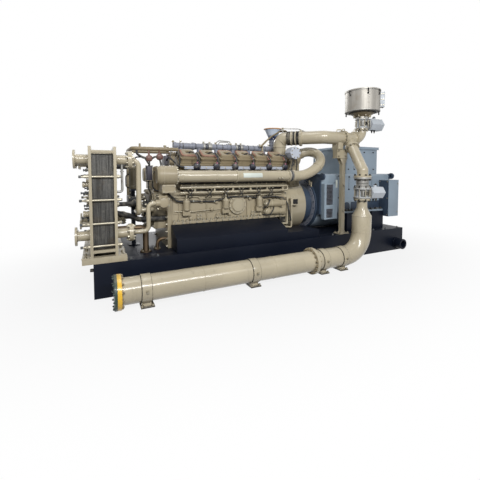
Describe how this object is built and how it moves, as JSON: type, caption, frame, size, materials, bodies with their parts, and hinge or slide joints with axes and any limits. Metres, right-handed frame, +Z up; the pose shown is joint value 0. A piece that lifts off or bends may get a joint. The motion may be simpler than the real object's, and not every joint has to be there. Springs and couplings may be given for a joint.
{
  "type": "gas engine generator set",
  "caption": "Skid-mounted V-type gas engine driving a box generator, with plate heat exchangers at the engine's free end and a floor gas pipe, riser and air filter on one side.",
  "frame": {"origin": "centre of the skid's underside, on the floor", "axes": "+X along the shaft from the heat exchangers to the generator, +Z up, the gas pipe lies on the -Y side"},
  "size_m": [5.225, 2.3, 2.75],
  "materials": {
    "skid_navy": "satin paint",
    "engine_cream": "semi-gloss paint",
    "manifold_grey": "matt heat-resistant coat",
    "generator_blue": "semi-gloss paint",
    "bell_dark": "satin paint",
    "plate_pack_steel": "stacked pressed plates with dark gaskets",
    "rod_steel": "zinc-plated",
    "cover_green": "satin paint with a yellow rim",
    "valve_stainless": "satin stainless",
    "actuator_grey": "powder coat on cast housings",
    "throttle_blue": "satin paint",
    "filter_satin": "satin sheet steel",
    "damper_black": "painted casting",
    "hose_rubber": "ribbed reinforced hose",
    "pipe_brown": "primer-brown paint",
    "rail_blue": "semi-gloss paint"
  },
  "bodies": {
    "root": {"skid_girders": "skid_navy", "skid_cross_members": "skid_navy", "deck_plates": "skid_navy", "lifting_trunnions": "skid_navy", "engine_pedestals": "skid_navy", "generator_pedestals": "skid_navy", "oil_pan": "skid_navy", "crankcase": "engine_cream", "crankcase_covers": "engine_cream", "front_gear_cover": "engine_cream", "vibration_damper": "damper_black", "water_pump": "engine_cream", "starter_motors": "engine_cream", "cylinder_heads": "engine_cream", "rocker_covers": "engine_cream", "intake_manifolds": "engine_cream", "intake_coolers": "engine_cream", "charge_air_tubes": "engine_cream", "turbo_housing": "engine_cream", "side_rails": "engine_cream", "exhaust_manifold": "manifold_grey", "exhaust_outlet": "manifold_grey", "water_crossover": "engine_cream", "filter_and_control_box": "engine_cream", "flywheel_housing": "engine_cream", "generator_bell": "bell_dark", "generator_body": "generator_blue", "generator_end_plates": "generator_blue", "louvre_boxes": "generator_blue", "terminal_box": "generator_blue", "generator_side_box": "generator_blue", "exchanger_frames": "engine_cream", "exchanger_ports": "engine_cream", "front_stand": "skid_navy", "front_canister": "engine_cream", "front_pump_block": "damper_black", "front_hoses": "hose_rubber", "drain_pipes": "pipe_brown", "ignition_rails": "rail_blue", "exchanger_plate_packs": "plate_pack_steel", "exchanger_tie_rods": "rod_steel", "exchanger_base": "engine_cream", "coolant_pipes": "engine_cream", "gas_pipe": "engine_cream", "gas_inlet_cover": "cover_green", "pipe_saddles": "engine_cream", "gas_riser": "engine_cream", "gas_valve": "valve_stainless", "gas_bellows": "valve_stainless", "mixing_tee": "engine_cream", "mixture_pipe": "engine_cream", "air_elbow": "engine_cream", "air_valve": "valve_stainless", "valve_actuators": "actuator_grey", "throttle_actuator": "throttle_blue", "air_filter": "filter_satin", "support_post": "engine_cream"}
  },
  "joints": []
}
